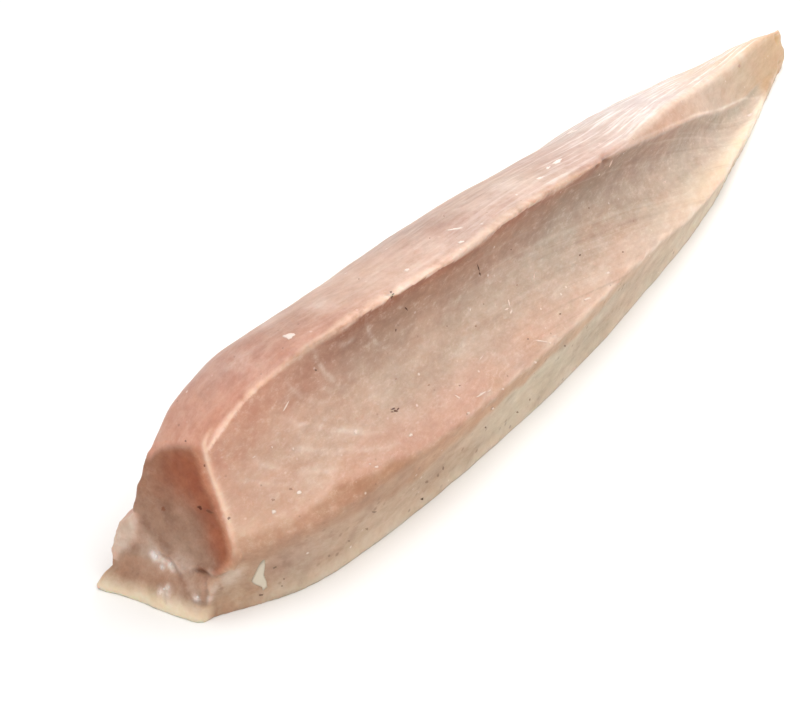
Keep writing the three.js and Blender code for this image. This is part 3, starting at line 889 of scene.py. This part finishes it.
# Specks of dried blood and frost all over, and pores in the band: their spacing, radius, the share of places
# that have one, their strength, where they are and their colour. No two are equally strong.
SPECKS = [
    (4.6 * MM, 0.50 * MM, 0.35, 0.60, "uncut", "#8a6454"),
    (4.0 * MM, 0.60 * MM, 0.40, 0.65, "uncut", "#f8ece4"),
    (3.4 * MM, 1.00 * MM, 0.50, 0.75, "band", "#94725c"),
]
SPECK_CORE = 0.3
share["band"] = add_node(flesh, "ShaderNodeAttribute", {}, attribute_name="band")["Fac"]
for spacing, radius, chosen, strength, where, colour in SPECKS:
    cells = add_node(flesh, "ShaderNodeTexVoronoi", {"Vector": ways["object"], "Scale": 1 / spacing})
    draws = add_node(flesh, "ShaderNodeSeparateColor", {"Color": cells["Color"]})
    edge, core = radius / spacing, SPECK_CORE * radius / spacing
    sockets = {"Value": cells["Distance"], "From Min": edge, "From Max": core}
    spot = add_node(flesh, "ShaderNodeMapRange", sockets, interpolation_type="SMOOTHSTEP")["Result"]
    kept = add_node(flesh, "ShaderNodeMath", {0: draws["Red"], 1: chosen}, operation="LESS_THAN")["Value"]
    for weight in (kept, draws["Green"], share[where], strength):
        spot = add_node(flesh, "ShaderNodeMath", {0: spot, 1: weight}, operation="MULTIPLY")["Value"]
    sockets = {MIX_SHARE: spot, MIX_UNDER: tone, MIX_OVER: linear(colour)}
    tone = add_node(flesh, "ShaderNodeMix", sockets, data_type="RGBA")[MIX_RESULT]

# The grain and the clouds also break up the shine a little.
BUMP_STRENGTH = 0.25
BUMP_RISE = 0.3 * MM
sockets = {0: pattern["grain"], 1: pattern["cloud"]}
height = add_node(flesh, "ShaderNodeMath", sockets, operation="ADD")["Value"]
sockets = {"Height": height, "Strength": BUMP_STRENGTH, "Distance": BUMP_RISE}
bump = add_node(flesh, "ShaderNodeBump", sockets)["Normal"]
surface = add_node(flesh, "ShaderNodeBsdfPrincipled", {
    "Base Color": tone,
    "Roughness": 0.45,
    "IOR": 1.38,
    "Subsurface Weight": 1.0,
    "Subsurface Radius": (1.0, 0.5, 0.35),
    "Subsurface Scale": 1.3 * MM,
    "Normal": bump,
})["BSDF"]
add_node(flesh, "ShaderNodeOutputMaterial", {"Surface": surface})
loin.data.materials.append(flesh)
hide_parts("loin")
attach(loin, "root")

# Flakes of frost stuck to the loin, flecks of dried blood and dirt frozen into it, and one torn scrap of
# membrane. Each is a thin lens set into the flesh, its edge as the flesh there and its core its own colour.
# Marks: the picture's column and row, half-length and half-width in pixels, turn in degrees and strength.
MARKS = {
    "frost_on_skin": [
        (288, 336, 7, 3.2, 8, 0.65), (557, 162, 6, 1.8, 25, 1.0), (548, 168, 3, 1.2, 30, 0.8),
        (540, 178, 5, 1.2, 20, 0.7), (455, 229, 9, 0.8, 10, 0.8), (461, 242, 3.5, 1.4, 15, 0.8),
        (407, 270, 3, 1.2, 20, 0.6), (572, 132, 7, 1.0, 18, 0.8), (750, 115, 3.5, 1.6, 35, 0.6),
    ],
    "frost_in_dish": [
        (299, 492, 2.6, 2.4, 0, 1.0), (274, 512, 2.4, 2.4, 0, 0.9), (286, 406, 7, 0.9, 64, 0.7),
        (356, 432, 2.2, 3.0, 20, 0.7), (411, 435, 2.6, 1.5, 20, 0.7), (377, 467, 2.2, 1.4, 0, 0.7),
        (370, 464, 1.5, 1.0, 0, 0.6), (509, 303, 0.9, 4, 12, 0.7), (507, 309, 2.6, 1.0, 30, 0.7),
        (511, 312, 1.0, 2.6, -20, 0.6), (470, 310, 2.2, 1.0, 60, 0.6), (534, 277, 0.9, 3.4, -10, 0.4),
        (608, 273, 2.4, 1.2, 10, 0.9), (587, 299, 5, 1.1, 15, 0.8), (541, 341, 7, 0.8, -8, 0.8),
        (550, 343, 2, 1.0, 20, 0.7), (481, 358, 3, 0.7, 50, 0.5), (665, 182, 1.0, 1.0, 0, 0.6),
        (293, 449, 1.4, 1.4, 0, 0.5), (272, 447, 1.0, 1.2, 0, 0.5), (254, 457, 2.2, 0.7, 35, 0.6),
        (611, 163, 1.0, 4, -25, 0.4), (458, 397, 4, 0.8, -30, 0.7), (481, 394.5, 7, 1.0, 28, 0.7),
        (489, 391, 3, 0.8, 30, 0.5), (503, 389, 1.5, 1.5, 0, 0.6), (535, 362.5, 1.5, 1.5, 0, 0.7),
        (554, 336, 3, 1.0, 20, 0.5), (468.5, 413, 1.6, 1.2, 0, 0.6), (493, 408.5, 1.2, 1.2, 0, 0.6),
    ],
    "frost_on_cut": [
        (156, 556, 2.0, 2.6, 20, 1.0), (162, 567, 0.8, 3.0, -20, 0.6), (171, 564, 1.1, 2.0, -15, 0.7),
        (164, 589, 1.6, 1.4, 20, 0.6), (169, 587, 1.0, 1.8, -10, 0.5), (197.5, 597, 1.6, 1.3, 10, 0.8),
    ],
    "flecks_on_skin": [
        (283, 348, 1.4, 1.0, 0, 0.5), (185.5, 441, 1.1, 1.3, 0, 0.7), (430, 238, 0.9, 0.8, 0, 0.4),
        (444, 216, 0.9, 0.8, 0, 0.5), (359, 279, 1.0, 0.9, 0, 0.4), (261, 374, 0.9, 0.9, 0, 0.3),
        (739.5, 65.5, 1.6, 2.4, 0, 0.2),
    ],
    "flecks_in_dish": [
        (393, 409, 2.8, 1.0, 20, 0.9), (396, 411, 2.8, 1.1, -10, 1.0), (398, 409, 2.5, 0.9, 40, 0.9),
        (392, 412, 2.0, 0.8, 0, 0.8), (392.5, 296, 3.4, 1.2, 62, 1.0), (391, 292, 1.4, 1.2, 20, 0.7),
        (478.5, 268, 4.4, 0.8, -76, 1.0), (480, 274, 2.2, 1.0, -70, 1.0), (406.5, 309, 3.4, 1.0, -48, 1.0),
        (396, 330, 1.0, 1.8, -10, 0.8), (398, 325, 0.7, 1.1, 0, 0.6), (316, 370, 1.5, 1.1, 0, 0.8),
        (511, 249.5, 1.1, 1.0, 0, 0.7), (589, 208, 1.1, 1.0, 0, 0.7), (580, 255, 1.2, 1.0, 0, 0.9),
        (517, 285, 0.9, 0.9, 0, 0.4), (476, 326, 1.0, 0.8, 0, 0.6), (447, 326, 1.0, 0.9, 0, 0.6),
        (560, 314, 1.2, 0.9, 0, 0.8), (528, 339, 1.4, 0.7, 0, 0.7), (396, 379, 1.1, 0.9, 0, 0.4),
        (623, 252, 1.4, 0.8, -10, 0.6), (291, 489, 2.2, 1.4, 0, 0.3), (273, 500, 2.0, 1.5, 0, 0.2),
        (533, 230, 0.8, 0.8, 0, 0.5), (429, 385, 1.6, 0.8, 10, 0.4), (459.5, 385.5, 1.2, 0.7, 0, 0.5),
        (229, 518, 1.9, 1.9, 0, 0.4),
    ],
    "flecks_on_cut": [
        (163, 509, 2.4, 2.6, 20, 0.5), (200, 508, 4.2, 2.0, -30, 1.0), (209, 511.5, 5.0, 1.5, -26, 0.7),
        (204.5, 466, 1.5, 1.6, 0, 0.35),
    ],
    "flecks_on_band": [
        (261, 595, 3.4, 1.1, 8, 0.6), (275, 567.5, 2.8, 1.2, 20, 0.6), (284, 579, 1.1, 1.1, 0, 0.4),
        (282, 586, 1.0, 1.1, 0, 0.4), (422, 499, 2.0, 1.4, 30, 1.0), (443, 468, 1.1, 3.2, -12, 0.5),
        (438, 475, 1.1, 2.3, -20, 0.4), (427, 482, 1.9, 1.4, 20, 0.4), (374, 512, 3.0, 1.1, 5, 0.4),
        (367, 529, 1.7, 1.6, 0, 0.25), (349, 541, 1.7, 1.2, 0, 0.3), (329, 556, 1.5, 1.4, 0, 0.25),
        (565, 346, 1.4, 1.2, 0, 0.6), (530, 399.5, 0.8, 1.6, -20, 0.4), (517.5, 412, 1.3, 1.1, 0, 0.4),
        (485.7, 427.5, 1.2, 1.1, 0, 0.8),
    ],
}
TORN_SCRAP = [
    (264.6, 558.6), (258.4, 565.7), (254.5, 574), (251, 582), (254.8, 585), (262, 588), (262.9, 591.6),
    (268, 588), (267, 582), (263.8, 574.6), (265.5, 564),
]
# The finish of each: the substance, how far it rises, the colours of its edge and core, its roughness and its
# shine. Frost is white and glints a little, dried blood and dirt are dark and dull, the membrane is waxy.
FINISHES = {
    "frost_on_skin": ("hoar_frost_on_skin", 0.12 * MM, "#dcb9a9", "#f4e8df", 0.55, 0.5),
    "frost_in_dish": ("hoar_frost_in_dish", 0.10 * MM, "#d4b09d", "#f2dfd2", 0.55, 0.5),
    "frost_on_cut": ("hoar_frost_on_cut", 0.20 * MM, "#c4aca0", "#f4ebe4", 0.50, 0.5),
    "flecks_on_skin": ("dried_blood_on_skin", 0.05 * MM, "#cfa898", "#6c3828", 0.70, 0.1),
    "flecks_in_dish": ("dried_blood_in_dish", 0.05 * MM, "#c8a18c", "#44221a", 0.70, 0.1),
    "flecks_on_cut": ("dried_blood_on_cut", 0.05 * MM, "#a6745a", "#561e10", 0.70, 0.1),
    "flecks_on_band": ("dried_blood_on_band", 0.05 * MM, "#b79a84", "#4a3222", 0.70, 0.1),
    "torn_membrane": ("dried_membrane", 0.25 * MM, "#cdbca7", "#d8ccb7", 0.50, 0.4),
}
OVAL_SIDES = 12
OVAL_WAVER = 0.35
RING_SIZE = 0.7
RING_RISE = 0.7
RING_CORE = 0.75
LENS_SINK = 0.05 * MM
LENS_ROOT = 0.5 * MM
SEED = 5
chance = np.random.default_rng(SEED)


def ragged_oval(column, row, half_length, half_width, turn):
    """The picture points of an oval outline that wavers."""
    angle = np.linspace(0, 2 * math.pi, OVAL_SIDES, endpoint=False)
    waver = 1 + OVAL_WAVER * chance.uniform(-1, 1, OVAL_SIDES)
    right = waver * half_length * np.cos(angle)
    up = waver * half_width * np.sin(angle)
    cos, sin = math.cos(math.radians(turn)), math.sin(math.radians(turn))
    return np.stack([column + right * cos - up * sin, row - right * sin - up * cos], 1)


def lens_in(outline, rise, strength):
    """A thin lens set into the loin in an outline of picture points: its vertices, faces and core shares."""
    middle = outline.mean(axis=0)
    sides = len(outline)
    vertices, cores, faces = [], [], []
    for size, height, core in ((1.0, -LENS_SINK, 0.0), (RING_SIZE, RING_RISE * rise, RING_CORE)):
        for column, row in middle + size * (outline - middle):
            spot, facing = on_loin(column, row)
            vertices.append(spot + facing * height)
            cores.append(core * strength)
    spot, facing = on_loin(*middle)
    vertices += [spot + facing * rise, spot - facing * LENS_ROOT]
    cores += [strength, 0.0]
    crest, root = 2 * sides, 2 * sides + 1
    for outer in range(sides):
        outer_next = (outer + 1) % sides
        inner, inner_next = outer + sides, outer_next + sides
        faces.append((outer, outer_next, inner_next, inner))
        faces.append((inner, inner_next, crest))
        faces.append((outer_next, outer, root))
    return vertices, faces, cores


outlines = {
    name: [(ragged_oval(*oval), strength) for *oval, strength in marks]
    for name, marks in MARKS.items()
}
outlines["torn_membrane"] = [(np.array(TORN_SCRAP), 1.0)]
for name, (substance, rise, edge_colour, core_colour, roughness, shine) in FINISHES.items():
    vertices, faces, cores = [], [], []
    for outline, strength in outlines[name]:
        lens_vertices, lens_faces, lens_cores = lens_in(outline, rise, strength)
        faces += [tuple(corner + len(vertices) for corner in face) for face in lens_faces]
        vertices += lens_vertices
        cores += lens_cores
    mesh = bpy.data.meshes.new(name)
    mesh.from_pydata(vertices, [], faces)
    mesh.attributes.new("core", "FLOAT", "POINT").data.foreach_set("value", cores)
    flecks = bpy.data.objects.new(name, mesh)
    bpy.context.scene.collection.objects.link(flecks)
    select_only(flecks)
    bpy.ops.object.mode_set(mode="EDIT")
    bpy.ops.mesh.select_all(action="SELECT")
    bpy.ops.mesh.normals_make_consistent(inside=False)
    bpy.ops.object.mode_set(mode="OBJECT")
    bpy.ops.object.shade_smooth()
    finish = bpy.data.materials.new(substance)
    finish.use_nodes = True
    finish.node_tree.nodes.clear()
    core = add_node(finish, "ShaderNodeAttribute", {}, attribute_name="core")["Fac"]
    sockets = {MIX_SHARE: core, MIX_UNDER: linear(edge_colour), MIX_OVER: linear(core_colour)}
    colour = add_node(finish, "ShaderNodeMix", sockets, data_type="RGBA")[MIX_RESULT]
    sockets = {"Base Color": colour, "Roughness": roughness, "Specular IOR Level": shine}
    surface = add_node(finish, "ShaderNodeBsdfPrincipled", sockets)["BSDF"]
    add_node(finish, "ShaderNodeOutputMaterial", {"Surface": surface})
    flecks.data.materials.append(finish)
    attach(flecks, "root")

# The floor: a plain pale sheet of studio paper, wide enough to fill the picture. It is matt and nearly
# white, so that only a soft shadow shows round the loin.
FLOOR_SIZE = 8.0
bpy.ops.object.select_all(action="DESELECT")
bpy.ops.mesh.primitive_plane_add(size=FLOOR_SIZE)
floor = bpy.context.object
floor.name = "studio_floor"
paper = bpy.data.materials.new("white_studio_paper")
paper.use_nodes = True
paper.node_tree.nodes.clear()
paper_surface = add_node(paper, "ShaderNodeBsdfPrincipled", {
    "Base Color": linear("#f6f5f3"),
    "Roughness": 0.9,
})["BSDF"]
add_node(paper, "ShaderNodeOutputMaterial", {"Surface": paper_surface})
floor.data.materials.append(paper)

# The light: a large soft box overhead, small ones behind the tail and low before the head, and a white
# room. Each box has its stand and size in metres and its power in watts.
ROOM_BRIGHTNESS = 0.4
SOFT_BOXES = [
    ("overhead_box", (0.1, -0.25, 1.1), 1.0, 13.0),
    ("tail_box", (0.8, 0.4, 0.5), 0.5, 2.5),
    ("head_box", (-0.75, -0.05, 0.22), 0.35, 0.8),
]
world = bpy.data.worlds.new("white_room")
bpy.context.scene.world = world
world.use_nodes = True
world.node_tree.nodes["Background"].inputs["Color"].default_value = (1, 1, 1, 1)
world.node_tree.nodes["Background"].inputs["Strength"].default_value = ROOM_BRIGHTNESS
for name, stand, size, power in SOFT_BOXES:
    aim = -Vector(stand)
    bpy.ops.object.light_add(type="AREA", location=stand, rotation=aim.to_track_quat("-Z", "Y").to_euler())
    light = bpy.context.object
    light.name = name
    light.data.size = size
    light.data.energy = power
bpy.context.scene.view_settings.view_transform = "Standard"
